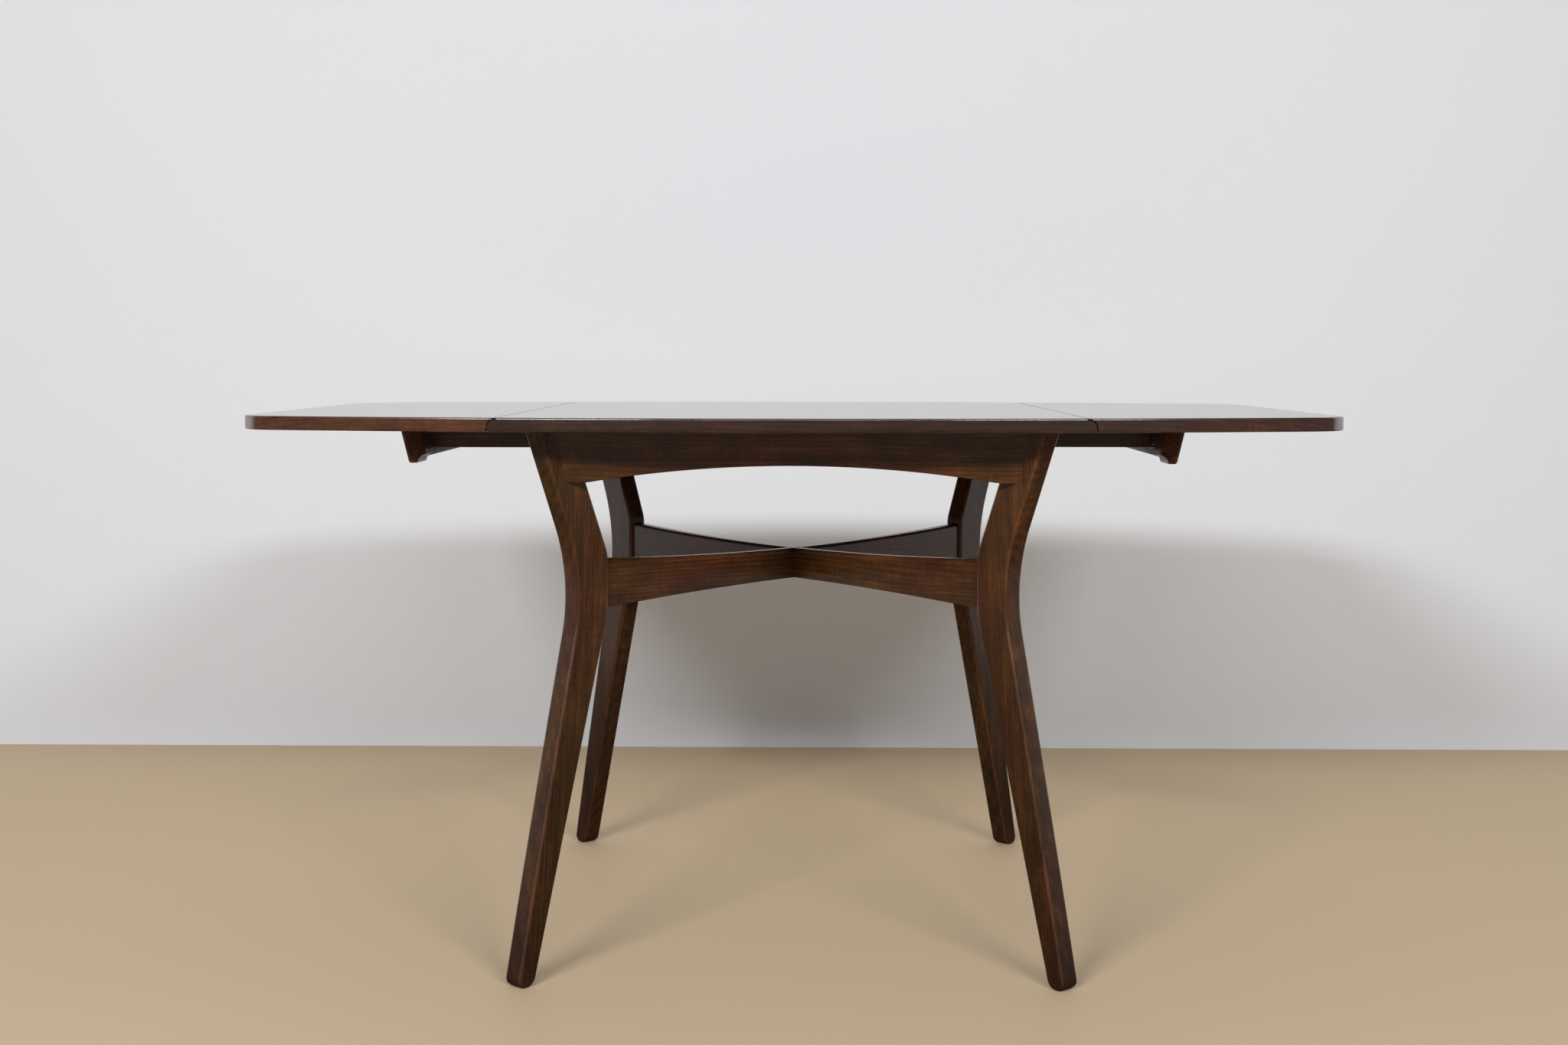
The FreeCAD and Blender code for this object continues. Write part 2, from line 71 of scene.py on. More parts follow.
# %% Sizes that several pieces share
MM = 0.001
top_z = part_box("top_centre")[1].z
under_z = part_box("top_centre")[0].z
half_length = cad_high.x
half_depth_middle = cad_high.y
corner_x = 325.0 * MM
corner_y = 354.5 * MM
corner_reach = math.hypot(corner_x, corner_y)
diagonal = math.atan2(corner_y, corner_x)
lean_angle = math.radians(11.0)
lean, lean_cosine = math.tan(lean_angle), math.cos(lean_angle)
leg_half = 15.0 * MM
print("top at", round(top_z, 3), "m, diagonal at", round(math.degrees(diagonal), 2), "degrees")

# %% [markdown]
# Three small helpers serve every material. Colours are picked on a screen, so they are written
# as sRGB hex and turned linear once, by the sRGB standard's own curve. One helper adds a node
# with its settings and its links and hands back one of its outputs, and one starts a material
# with a Principled shader.


# %% Material helpers
def linear(colour):
    values = [int(colour[i:i + 2], 16) / 255 for i in (1, 3, 5)]
    return tuple(v / 12.92 if v <= 0.04045 else ((v + 0.055) / 1.055) ** 2.4 for v in values) + (1,)


def add(tree, kind, inputs=(), output=0, **settings):
    node = tree.nodes.new(kind)
    for name, value in settings.items():
        setattr(node, name, value)
    for socket, value in inputs.items() if isinstance(inputs, dict) else enumerate(inputs):
        if isinstance(value, bpy.types.NodeSocket):
            tree.links.new(value, node.inputs[socket])
        else:
            node.inputs[socket].default_value = value
    return node.outputs[output] if len(node.outputs) else None


def started(name, **shader):
    material = bpy.data.materials.new(name)
    material.use_nodes = True
    tree = material.node_tree
    principled = tree.nodes["Principled BSDF"]
    for socket, value in shader.items():
        principled.inputs[socket.replace("_", " ")].default_value = value
    return material, tree, principled


# %% [markdown]
# The wood is a fine, even hardwood, stained dark walnut and sprayed with satin lacquer. Every
# pattern in it runs along the board, so one helper makes a noise with a length along the grain
# and a width across it, both in millimetres. Boards in a wide top are glued up from planks, so
# the figure starts anew at each: the other helper finds the plank that a point lies in, shifts
# the pattern there by chance and gives each plank a tone of its own.


# %% Patterns along the grain
def grained(tree, board, length, width, detail, roughness=0.5, output="Fac"):
    scale = (1 / (length * MM), 1 / (width * MM), 1 / (width * MM))
    stretched = add(tree, "ShaderNodeMapping", {"Vector": board, "Scale": scale})
    return add(tree, "ShaderNodeTexNoise", {"Vector": stretched, "Scale": 1.0, "Detail": detail,
                                            "Roughness": roughness}, output)


def plank_places(tree, board, plank):
    furthest_shift = (3.0, 0.09, 0.12)
    part = add(tree, "ShaderNodeSeparateXYZ", (board,)).node.outputs
    count = add(tree, "ShaderNodeMath", (part["Y"], plank), operation="DIVIDE")
    index = add(tree, "ShaderNodeMath", (count,), operation="FLOOR")
    luck = add(tree, "ShaderNodeTexWhiteNoise", {"W": index}, noise_dimensions="1D").node.outputs
    shift = add(tree, "ShaderNodeVectorMath", (luck["Color"], furthest_shift), operation="MULTIPLY")
    edge = add(tree, "ShaderNodeMath", (index, plank), operation="MULTIPLY")
    own = add(tree, "ShaderNodeMath", (part["Y"], edge), operation="SUBTRACT")
    plain = add(tree, "ShaderNodeCombineXYZ", (part["X"], own, part["Z"]))
    return add(tree, "ShaderNodeVectorMath", (plain, shift)), luck["Value"]


# %% [markdown]
# Several things make the stained wood read as wood. Fibres run along it as fine streaks, 1 to
# 10 mm wide, and faint ripples 5 mm apart cross them, which cabinet makers call curl. The stain
# took unevenly, so flame-like patches a few centimetres long are darker or lighter. Growth rings,
# 6 or 7 mm apart and bent by a slow sway, show through it only faintly. Each pattern has its
# share in one figure, which picks the brown later.


# %% Figure of the wood
def wood_figure(tree, board, pith, ring, plank_tone):
    wave_period = math.pi / 10
    sway_reach = 75.0 * MM
    sway = grained(tree, board, 909.1, 181.8, 2.0, output="Color")
    sway = add(tree, "ShaderNodeVectorMath", (sway, (0.0, sway_reach, sway_reach)), operation="MULTIPLY")
    bent = add(tree, "ShaderNodeVectorMath", (board, sway))
    bent = add(tree, "ShaderNodeVectorMath", (bent, (0.0, *pith)), operation="SUBTRACT")
    rings = add(tree, "ShaderNodeTexWave", {"Vector": bent, "Scale": wave_period / (ring * MM),
                                            "Distortion": 1.5, "Detail": 2.0, "Detail Scale": 0.35},
                "Fac", wave_type="RINGS", rings_direction="X", wave_profile="SIN")
    fibre = grained(tree, board, 71.43, 1.613, 3.0, 0.6)
    streak = grained(tree, board, 250.0, 9.091, 4.0, 0.6)
    flame = grained(tree, board, 90.91, 29.41, 4.0, 0.6)
    ripple = grained(tree, board, 5.263, 22.22, 2.0)
    figure = 0.0
    for pattern, share in ((streak, 0.24), (fibre, 0.20), (flame, 0.34), (ripple, 0.12),
                           (rings, 0.05), (plank_tone, 0.05)):
        figure = add(tree, "ShaderNodeMath", (pattern, share, figure), operation="MULTIPLY_ADD")
    return figure, fibre, flame


# %% [markdown]
# A used table wears where it moves and where it is touched. Where the top folds, the lacquer has
# flaked off the edges of the rule joint in chips about 3 mm across, and painted shade darkens and
# dulls a band along the groove on top. Both are found from the distance to the joint's axis.
# Painted shade also darkens the legs towards the feet, where less light reaches them, and the
# stretchers where they cross, in the apron's shadow. So one helper paints shade towards a place,
# and clears it over a given distance.


# %% Wear and painted shade
def joint_chips_and_seam_shade(tree, place, joint_x, joint_z, radius):
    edge_middle, edge_half, edge_fades = radius + 0.5 * MM, 0.4 * MM, 2.4 * MM
    past_quirk, flake_size = 2.0 * MM, 3.333 * MM
    groove_middle, groove_half, groove_fades = 0.4 * MM, 0.9 * MM, 1.5 * MM
    top_from, top_full = radius + 0.6 * MM, radius + 0.9 * MM
    part = add(tree, "ShaderNodeSeparateXYZ", (place,)).node.outputs
    aside = add(tree, "ShaderNodeMath", (part["X"],), operation="ABSOLUTE")
    along = add(tree, "ShaderNodeMath", (aside, joint_x), operation="SUBTRACT")
    rise = add(tree, "ShaderNodeMath", (part["Z"], joint_z), operation="SUBTRACT")
    flat = add(tree, "ShaderNodeCombineXYZ", (along, rise))
    reach = add(tree, "ShaderNodeVectorMath", (flat,), "Value", operation="LENGTH")
    off = add(tree, "ShaderNodeMath", (reach, edge_middle), operation="SUBTRACT")
    off = add(tree, "ShaderNodeMath", (off,), operation="ABSOLUTE")
    near = add(tree, "ShaderNodeMapRange", (off, edge_half, edge_fades, 0.62, 0.0))
    outward = add(tree, "ShaderNodeMath", (along, past_quirk), operation="GREATER_THAN")
    near = add(tree, "ShaderNodeMath", (near, outward), operation="MULTIPLY")
    flakes = add(tree, "ShaderNodeTexNoise", {"Vector": place, "Scale": 1 / flake_size, "Detail": 4.0})
    loose = add(tree, "ShaderNodeMath", (flakes, near), operation="ADD")
    chips = add(tree, "ShaderNodeMapRange", (loose, 1.10, 1.22))
    # Painted shade: a band along the seam groove on top, darkened and dulled in the finish.
    beside = add(tree, "ShaderNodeMath", (along, groove_middle), operation="SUBTRACT")
    beside = add(tree, "ShaderNodeMath", (beside,), operation="ABSOLUTE")
    groove = add(tree, "ShaderNodeMapRange", (beside, groove_half, groove_fades, 0.5, 0.0))
    upper = add(tree, "ShaderNodeMapRange", (rise, top_from, top_full))
    return chips, add(tree, "ShaderNodeMath", (groove, upper), operation="MULTIPLY")


def painted_shade(tree, colour, distance, lit_from, darkest):
    # Painted shade: the colour is darkest at the place and lit again at the given distance.
    lit_share = add(tree, "ShaderNodeMapRange", (distance, 0.0, lit_from, darkest, 1.0))
    return add(tree, "ShaderNodeMix", {0: 1.0, 6: colour, 7: lit_share}, 2, data_type="RGBA",
               blend_type="MULTIPLY")


# %% [markdown]
# The figure runs from a dark brown through a middle one to a light one. Over a hand's width the
# brown drifts between red and olive. Pores are thin dark dashes; real ones are 0.1 mm wide, and
# they are drawn at 0.4 mm, as coarse as they need to be to show. On the arrises the stain is
# rubbed thin and a redder, lighter brown comes through, which is also a painted highlight along
# each arris; the mesh carries that as an attribute named arris. Lacquer has an IOR of 1.5, and the
# top has a second, glossier coat of it.


# %% Stained and lacquered wood
def stained_wood(name, grain, dark, mid, light, worn_and_highlit, rough=(0.22, 0.32), plank=None, ring=6.0,
                 coat=0.0, pith=(90.0 * MM, -160.0 * MM), start=(0.0, 0.0, 0.0), shaded_below=0.0,
                 shaded_within=0.0, joint=None, specular=0.5):
    material, tree, shader = started(name, IOR=1.5, Specular_IOR_Level=specular, Coat_Weight=coat,
                                     Coat_Roughness=0.08)
    place = add(tree, "ShaderNodeTexCoord", output="Object")
    turn = Vector(grain).to_track_quat("X", "Z").to_euler()
    board = add(tree, "ShaderNodeMapping", {"Vector": place, "Location": start, "Rotation": turn},
                vector_type="TEXTURE")
    plank_tone = 0.5
    if plank:
        board, plank_tone = plank_places(tree, board, plank)
    figure, fibre, flame = wood_figure(tree, board, pith, ring, plank_tone)
    colour = linear(dark)
    for low, high, brown in ((0.31, 0.50, mid), (0.50, 0.70, light)):
        share = add(tree, "ShaderNodeMapRange", (figure, low, high))
        colour = add(tree, "ShaderNodeMix", {0: share, 6: colour, 7: linear(brown)}, 2,
                     data_type="RGBA")
    drift = grained(tree, board, 384.6, 125.0, 2.0)
    share = add(tree, "ShaderNodeMapRange", (drift, 0.36, 0.64))
    tint = add(tree, "ShaderNodeMix", {0: share, 6: linear("#FFE2D8"), 7: linear("#F0FFD6")}, 2,
               data_type="RGBA")
    colour = add(tree, "ShaderNodeMix", {0: 1.0, 6: colour, 7: tint}, 2, data_type="RGBA",
                 blend_type="MULTIPLY")
    pores = add(tree, "ShaderNodeMapRange", (grained(tree, board, 10.53, 0.4348, 1.0), 0.60, 0.72))
    filled = add(tree, "ShaderNodeMath", (pores, 0.5), operation="MULTIPLY")
    colour = add(tree, "ShaderNodeMix", {0: filled, 6: colour, 7: linear(dark)}, 2, data_type="RGBA")
    # Painted shade: the legs darken towards the feet, where less light reaches them.
    if shaded_below:
        height = add(tree, "ShaderNodeSeparateXYZ", (place,), "Z")
        colour = painted_shade(tree, colour, height, lit_from=shaded_below, darkest=0.5)
    # Painted shade: the stretchers darken where they cross, in the shadow of the apron.
    if shaded_within:
        flat = add(tree, "ShaderNodeVectorMath", (place, (1.0, 1.0, 0.0)), operation="MULTIPLY")
        away = add(tree, "ShaderNodeVectorMath", (flat,), "Value", operation="LENGTH")
        colour = painted_shade(tree, colour, away, lit_from=shaded_within, darkest=0.45)
    # Rubbed wear and a painted highlight: a redder, lighter brown along the arrises.
    arris = add(tree, "ShaderNodeAttribute", output="Fac", attribute_name="arris")
    rub_and_highlight = add(tree, "ShaderNodeMapRange", (flame, 0.40, 0.62, 0.04, 0.36))
    rubbed_and_highlit = add(tree, "ShaderNodeMath", (arris, rub_and_highlight), operation="MULTIPLY")
    colour = add(tree, "ShaderNodeMix", {0: rubbed_and_highlit, 6: colour, 7: linear(worn_and_highlit)}, 2, data_type="RGBA")
    uneven = add(tree, "ShaderNodeMath", (drift, 0.5), operation="MULTIPLY")
    uneven = add(tree, "ShaderNodeMath", (fibre, 0.5, uneven), operation="MULTIPLY_ADD")
    gloss = add(tree, "ShaderNodeMapRange", (uneven, 0.3, 0.7, *rough))
    if joint:
        # Real chips on the joint's edges, and painted shade in a dark, dull band along the seam groove.
        chips, groove = joint_chips_and_seam_shade(tree, place, *joint)
        colour = add(tree, "ShaderNodeMix", {0: chips, 6: colour, 7: linear("#94796A")}, 2,
                     data_type="RGBA")
        colour = add(tree, "ShaderNodeMix", {0: groove, 6: colour, 7: linear("#2A201B")}, 2,
                     data_type="RGBA")
        chipped_and_seam_shaded = add(tree, "ShaderNodeMath", (chips, groove), operation="MAXIMUM")
        gloss = add(tree, "ShaderNodeMix", {0: chipped_and_seam_shaded, 2: gloss, 3: 0.8})
        # The painted seam shade also takes off the coat and most of the gloss in the band.
        for socket, full, kept in (("Coat Weight", coat, 0.0), ("Specular IOR Level", specular, 0.1)):
            lost = (kept - 1) * full
            level = add(tree, "ShaderNodeMath", (groove, lost, full), operation="MULTIPLY_ADD")
            tree.links.new(level, shader.inputs[socket])
    raised = add(tree, "ShaderNodeMath", (fibre, 0.5), operation="MULTIPLY")
    raised = add(tree, "ShaderNodeMath", (pores, -0.6, raised), operation="MULTIPLY_ADD")
    bump = add(tree, "ShaderNodeBump", {"Height": raised, "Strength": 0.2, "Distance": 0.1 * MM})
    for socket, value in (("Base Color", colour), ("Roughness", gloss), ("Normal", bump)):
        tree.links.new(value, shader.inputs[socket])
    return material


# %% [markdown]
# Grain follows the length of each board, so one recipe makes a material for each direction. The
# top is a shade redder and glossier than the frame, its left leaf lighter than the rest, and the
# rails inside got a thin coat only. The top's finish has to know where the rule joints are, so
# the axis and the radius of the joint are named here: the knuckles of the hinges lie 5 mm above
# the underside, and the round of the centre board ends 380 mm from the middle.

# %% The woods
frame_browns = dict(dark="#1D1109", mid="#412712", light="#6E4625", worn_and_highlit="#6E3C22")
top_browns = dict(dark="#190F0C", mid="#32201A", light="#50342A", worn_and_highlit="#5F3B2D")
left_leaf_browns = dict(dark="#24110A", mid="#502E1F", light="#734731", worn_and_highlit="#7A4834")
right_leaf_browns = dict(dark="#1D100D", mid="#3C241E", light="#5A3A31", worn_and_highlit="#6A4234")
inner_browns = dict(dark="#150D08", mid="#2A1B0D", light="#42291A", worn_and_highlit="#4A2D1F")
along, across = (1, 0, 0), (0, 1, 0)
wood_along = stained_wood("stained_wood_along", along, **frame_browns)
wood_across = stained_wood("stained_wood_across", across, **frame_browns)
thin_coat = dict(rough=(0.42, 0.6), specular=0.25)
wood_inner_along = stained_wood("thin_coated_wood_along", along, **thin_coat, **inner_browns)
wood_inner_across = stained_wood("thin_coated_wood_across", across, **thin_coat, **inner_browns)
joint_z = under_z + 5.0 * MM
joint_radius = 11.0 * MM
joint_x = 380.0 * MM - joint_radius
top_finish = dict(rough=(0.14, 0.22), plank=153.0 * MM, coat=0.6, pith=(50.0 * MM, 550.0 * MM),
                  ring=7.0, joint=(joint_x, joint_z, joint_radius))
wood_top = stained_wood("stained_centre_boards", along, **top_finish, **top_browns)
wood_leaf = {name: stained_wood("stained_" + name + "_leaf_boards", along, **top_finish, **browns)
             for name, browns in (("left", left_leaf_browns), ("right", right_leaf_browns))}
print("woods:", len(bpy.data.materials), "materials so far")

# %% [markdown]
# Every board here is lofted: a closed outline is repeated in rings through the board's
# thickness, and neighbouring rings are joined by quads. Near each face the rings draw in along a
# quarter circle, and that is the eased arris. This was chosen over a Bevel modifier because it
# can't collapse on short edges, and because each ring can say how worn it is and how much painted
# highlight it carries. Weighted normals keep the big flat faces flat to the eye while the arrises
# stay round.


# %% Lofting helpers
sharp_angle, flat_face_weight = math.radians(32), 90


def quarter(radius, steps):
    angles = [math.pi / 2 * i / steps for i in range(steps + 1)]
    # The third value weighs rubbed wear and painted highlight, strongest in the middle of the arris.
    return [(radius * (1 - math.cos(a)), radius * (1 - math.sin(a)), math.sin(2 * a) ** 2)
            for a in angles]


def stations(thickness, radius, steps, far_radius=None):
    far = quarter(radius if far_radius is None else far_radius, steps)
    far = [(thickness - depth, inset, wear_and_highlight) for depth, inset, wear_and_highlight in reversed(far)]
    return quarter(radius, steps) + far


def lofted(name, rings, wear_and_highlight):
    bm = bmesh.new()
    layer = bm.verts.layers.float.new("arris")
    rows = [[bm.verts.new(point) for point in ring] for ring in rings]
    for row, amount in zip(rows, wear_and_highlight):
        for vertex in row:
            vertex[layer] = amount
    for a, b in zip(rows, rows[1:]):
        for i in range(len(a)):
            bm.faces.new((a[i - 1], a[i], b[i], b[i - 1]))
    bm.faces.new(list(reversed(rows[0])))
    bm.faces.new(rows[-1])
    bmesh.ops.remove_doubles(bm, verts=bm.verts, dist=1e-6)
    bmesh.ops.recalc_face_normals(bm, faces=bm.faces)
    mesh = bpy.data.meshes.new(name)
    bm.to_mesh(mesh)
    bm.free()
    piece = bpy.data.objects.new(name, mesh)
    bpy.context.scene.collection.objects.link(piece)
    return piece


def made_plain(piece):
    view = bpy.context.evaluated_depsgraph_get()
    view.update()
    plain = bpy.data.meshes.new_from_object(piece.evaluated_get(view), depsgraph=view)
    piece.modifiers.clear()
    piece.data = plain


def cut(piece, cutter):
    modifier = piece.modifiers.new("cut", "BOOLEAN")
    modifier.operation = "DIFFERENCE"
    modifier.solver = "EXACT"
    modifier.object = cutter
    made_plain(piece)
    bpy.data.objects.remove(cutter)


def finished(piece, material, body, slot, *nodes):
    piece.data.shade_smooth()
    piece.data.set_sharp_from_angle(angle=sharp_angle)
    normals = piece.modifiers.new("flat faces stay flat", "WEIGHTED_NORMAL")
    normals.keep_sharp = True
    normals.weight = flat_face_weight
    made_plain(piece)
    piece.data.materials.clear()
    piece.data.materials.append(material)
    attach(piece, body)
    if nodes:
        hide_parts(*nodes)
    print(piece.name, len(piece.data.polygons), "faces on", body)


# %% [markdown]
# An outline drawn as corners gets its round corners here: two tangent points and an arc between
# them. To draw a ring in, each point moves inward along the mitre of its two edges. Points at
# the very top of a leg slide level instead, because the leg is cut off flat under the top. A
# bowed edge is an arc of a circle, given by its height at the ends and in the middle.


# %% Outline helpers
def round_corners(corners, radii, steps=8):
    outline = []
    for i, (here, radius) in enumerate(zip(corners, radii)):
        if not radius:
            outline.append(here)
            continue
        before = (corners[i - 1] - here).normalized()
        after = (corners[(i + 1) % len(corners)] - here).normalized()
        half = before.angle(after) / 2
        centre = here + (before + after).normalized() * (radius / math.sin(half))
        first = here + before * (radius / math.tan(half)) - centre
        last = here + after * (radius / math.tan(half)) - centre
        for k in range(steps + 1):
            outline.append(centre + first.slerp(last, k / steps) * radius)
    return outline


def drawn_in(outline, amount, level=None):
    sharpest = 0.5
    moved = []
    for i, here in enumerate(outline):
        before = (here - outline[i - 1]).normalized()
        after = (outline[(i + 1) % len(outline)] - here).normalized()
        if level is not None and abs(here.y - level) < 1e-6:
            side = before if abs(before.y) > abs(after.y) else after
            inward = Vector((-1 if side.y > 0 else 1, 0))
            moved.append(here + inward * (amount / max(abs(side.y), sharpest)))
            continue
        out = Vector((before.y, -before.x)) + Vector((after.y, -after.x))
        out.normalize()
        mitre = max(out.dot(Vector((after.y, -after.x))), sharpest)
        moved.append(here - out * (amount / mitre))
    return moved


def bow(x, half_span, end, middle):
    rise = middle - end
    radius = (half_span ** 2 + rise ** 2) / (2 * abs(rise))
    drop = radius - math.sqrt(radius ** 2 - x ** 2)
    return middle - drop * (1 if rise > 0 else -1)


# %% [markdown]
# A leg is one board, 30 mm thick, standing on a diagonal of the frame. Its outer edge is two
# arcs with a shallow knee between them, and a long arc down to the foot. Its inner edge has a
# short upright land where the stretcher seats. The edges are eased by 4.5 mm, generously enough
# for the light to slide round them, and the foot is rounded like a worn pencil.

# %% Legs
leg_top_inner = corner_reach - 40.0 * MM
land_reach = corner_reach - 105.0 * MM
land_top = under_z - 165.0 * MM
land_bottom = land_top - 79.0 * MM
land_round = 40.0 * MM
knee = Vector((corner_reach - 52.0 * MM, under_z - 217.0 * MM))
upper_lean, upper_radius, upper_steps = math.radians(21.0), 250.0 * MM, 14
lower_splay, lower_radius, lower_steps = math.radians(13.2), 240.0 * MM, 10
shank_steps = 20
foot_outer = corner_reach + 56.0 * MM
foot_inner = foot_outer - 28.0 * MM
foot_inner_round, foot_outer_round = 15.0 * MM, 11.0 * MM
leg_ease = 4.5 * MM
# The legs are painted darker below this height, as painted shade.
grain_splay, leg_shade_height = 0.07, 420.0 * MM
board_apart_x, board_apart_y = 100.0 * MM, 200.0 * MM


def knee_arc(radius, angle, steps, way):
    turns = [angle * i / steps for i in range(steps + 1)]
    return [knee + Vector((radius * (1 - math.cos(a)), way * radius * math.sin(a))) for a in turns]


def tangent_arc(start, heading, end, steps):
    chord = end - start
    turn = 2 * math.atan2(heading.cross(chord), heading.dot(chord))
    points = [start]
    step = chord.length * math.sin(turn / 2 / steps) / math.sin(turn / 2)
    for i in range(steps):
        angle = turn * (i + 0.5) / steps
        way = Vector((heading.x * math.cos(angle) - heading.y * math.sin(angle),
                      heading.x * math.sin(angle) + heading.y * math.cos(angle)))
        points.append(points[-1] + way * step)
    return points


def leg_outline():
    upper = knee_arc(upper_radius, upper_lean, upper_steps, 1)
    lower = knee_arc(lower_radius, lower_splay, lower_steps, -1)
    heading = Vector((math.sin(lower_splay), -math.cos(lower_splay)))
    shank = tangent_arc(lower[-1], heading, Vector((foot_outer, 0)), shank_steps)
    top_outer = upper[-1] + Vector((math.tan(upper_lean), 1)) * (under_z - upper[-1].y)
    corners = [Vector((leg_top_inner, under_z)), Vector((land_reach, land_top)),
               Vector((land_reach, land_bottom)), Vector((foot_inner, 0)), Vector((foot_outer, 0))]
    radii = [0, land_round, land_round, foot_inner_round, foot_outer_round]
    rise = list(reversed(shank[:-1])) + list(reversed(lower[:-1])) + upper[1:] + [top_outer]
    return round_corners(corners + rise, radii + [0] * len(rise))


def on_diagonal(reach, lateral, z, side_x, side_y):
    x = reach * math.cos(diagonal) - lateral * math.sin(diagonal)
    y = reach * math.sin(diagonal) + lateral * math.cos(diagonal)
    return Vector((x * side_x, y * side_y, z))


outline = leg_outline()
rows = stations(leg_half * 2, leg_ease, steps=5)
for name, side_x, side_y in (("front_left", -1, -1), ("front_right", 1, -1),
                             ("back_left", -1, 1), ("back_right", 1, 1)):
    rings = [[on_diagonal(p.x, depth - leg_half, p.y, side_x, side_y)
              for p in drawn_in(outline, inset, under_z)] for depth, inset, wear_and_highlight in rows]
    leg = lofted("leg_" + name + "_board", rings, [wear_and_highlight for depth, inset, wear_and_highlight in rows])
    grain = on_diagonal(grain_splay, 0, -1, side_x, side_y)
    start = (board_apart_x * side_x, board_apart_y * side_y, 0)
    wood = stained_wood("stained_wood_leg_" + name, grain, start=start, shaded_below=leg_shade_height,
                        **frame_browns)
    finished(leg, wood, "frame", "frame_wood", "leg_" + name)

# %% [markdown]
# The two stretchers cross in the middle of the frame and are halved into each other. Both long
# edges are arched. The upper arrises are rounded by 6 mm, because feet and hands meet them; in
# the photograph they make a dark line below the light one of the top edge. The lower ones are
# only broken. A small box takes half of each board away at the crossing, just as a saw does.

# %% Stretchers
stretcher_half = 10.0 * MM
stretcher_upper_ease, stretcher_lower_ease = 6.0 * MM, 1.2 * MM
end_top, middle_top = land_top - 8.0 * MM, land_top - 20.0 * MM
end_low, middle_low = land_bottom + 5.0 * MM, land_bottom + 16.0 * MM
halving_z = (middle_top + middle_low) / 2
halving_half_length, halving_room = 60.0 * MM, 0.05 * MM
# The stretchers are painted darker within this reach of the crossing, as painted shade.
crossing_shade_reach = 160.0 * MM
span_steps = 20


def eased_by(depth, thickness, radius):
    near = min(depth, thickness - depth, radius)
    return radius - math.sqrt(max(0.0, radius ** 2 - (radius - near) ** 2))


def block(name, low, high, turn):
    low, high = Vector(low), Vector(high)
    ring = [(low.x, low.y), (high.x, low.y), (high.x, high.y), (low.x, high.y)]
    piece = lofted(name, [[Vector((x, y, z)) for x, y in ring] for z in (low.z, high.z)], (0, 0))
    piece.data.transform(Matrix.Rotation(turn, 4, "Z"))
    return piece


def stretcher_ring(depth, inset, side):
    lateral = depth - stretcher_half
    spans = [land_reach * (i / span_steps - 1) for i in range(2 * span_steps + 1)]
    broken = eased_by(depth, stretcher_half * 2, stretcher_lower_ease)
    lower = [on_diagonal(x, lateral, bow(x, land_reach, end_low, middle_low) + broken, 1, side)
             for x in spans]
    upper = [on_diagonal(x, lateral, bow(x, land_reach, end_top, middle_top) - inset, 1, side)
             for x in reversed(spans)]
    return lower + upper


rows = stations(stretcher_half * 2, stretcher_upper_ease, steps=6)
half = stretcher_half + halving_room
for name, side, low, high in (("under", 1, halving_z, top_z), ("over", -1, 0.0, halving_z)):
    rings = [stretcher_ring(depth, inset, side) for depth, inset, wear_and_highlight in rows]
    board = lofted("stretcher_" + name + "_board", rings, [wear_and_highlight for depth, inset, wear_and_highlight in rows])
    cut(board, block("halving", (-halving_half_length, -half, low),
                     (halving_half_length, half, high), -side * diagonal))
    wood = stained_wood("stained_wood_stretcher_" + name, on_diagonal(1, 0, 0, 1, side),
                        shaded_within=crossing_shade_reach, **frame_browns)
    finished(board, wood, "frame", "frame_wood", "stretcher_" + name)

# %% [markdown]
# The aprons lean outward to the top and are arched below. Their ends butt against the flat
# faces of the legs, so each ring ends where the leg's face crosses it. Height and reach depend
# on each other there, because of the lean and the arch, so each point is found in a few rounds.

# %% Aprons
apron_across = 20.0 * MM / lean_cosine
apron_low = under_z - 69.0 * MM
apron_crown = under_z - 46.5 * MM
apron_ease = 1.2 * MM
arch_span = corner_x - 57.0 * MM
arch_steps = 28
rounds = 6


def apron_point(share, away, z_of_x, side_y):
    x = share * arch_span
    for _ in range(rounds):
        z = z_of_x(x)
        y = corner_y - away - (under_z - z) * lean
        x = share * (y * math.cos(diagonal) - leg_half) / math.sin(diagonal)
    return Vector((x, -y * side_y, z))


def arch(x):
    return bow(x, arch_span, apron_low, apron_crown) if abs(x) < arch_span else apron_low


rows = stations(apron_across, apron_ease, steps=3)
shares = [i / arch_steps - 1 for i in range(2 * arch_steps + 1)]
for name, side_y in (("front", 1), ("back", -1)):
    rings = [[apron_point(s, depth, lambda x: arch(x) + inset, side_y) for s in shares]
             + [apron_point(s, depth, lambda x: under_z, side_y) for s in (1, 0.5, 0, -0.5, -1)]
             for depth, inset, wear_and_highlight in rows]
    apron = lofted("apron_" + name + "_board", rings, [wear_and_highlight for depth, inset, wear_and_highlight in rows])
    finished(apron, wood_along, "frame", "frame_wood", "apron_" + name)

# %% [markdown]
# The top parts at two rule joints. The centre board has a rounded edge below a small quirk, and
# the leaf has the matching hollow. Both boards are lofted upward in level rings: each ring knows
# how far the joint reaches at its height, and how far the eased outer arris draws in. The ends of
# the joint are eased too, which makes the seam show as a dark line beside a light one.

# %% Level rings of the top boards
hollow_radius = joint_radius + 0.9 * MM
seam = 13.0 * MM * math.sin(math.radians(2.5)) + 0.35 * MM
centre_lip, leaf_lip = 1.0 * MM, 0.8 * MM
end_ease, end_steps = 1.6 * MM, 4
bow_radius = 2700.0 * MM
corner_radius = 70.0 * MM
# The underside's arrises get less of the rubbed wear and painted highlight.
top_ease, under_ease, under_wear_and_highlight = 2.0 * MM, 1.5 * MM, 0.6
joint_steps, edge_steps, corner_steps = 12, 24, 12


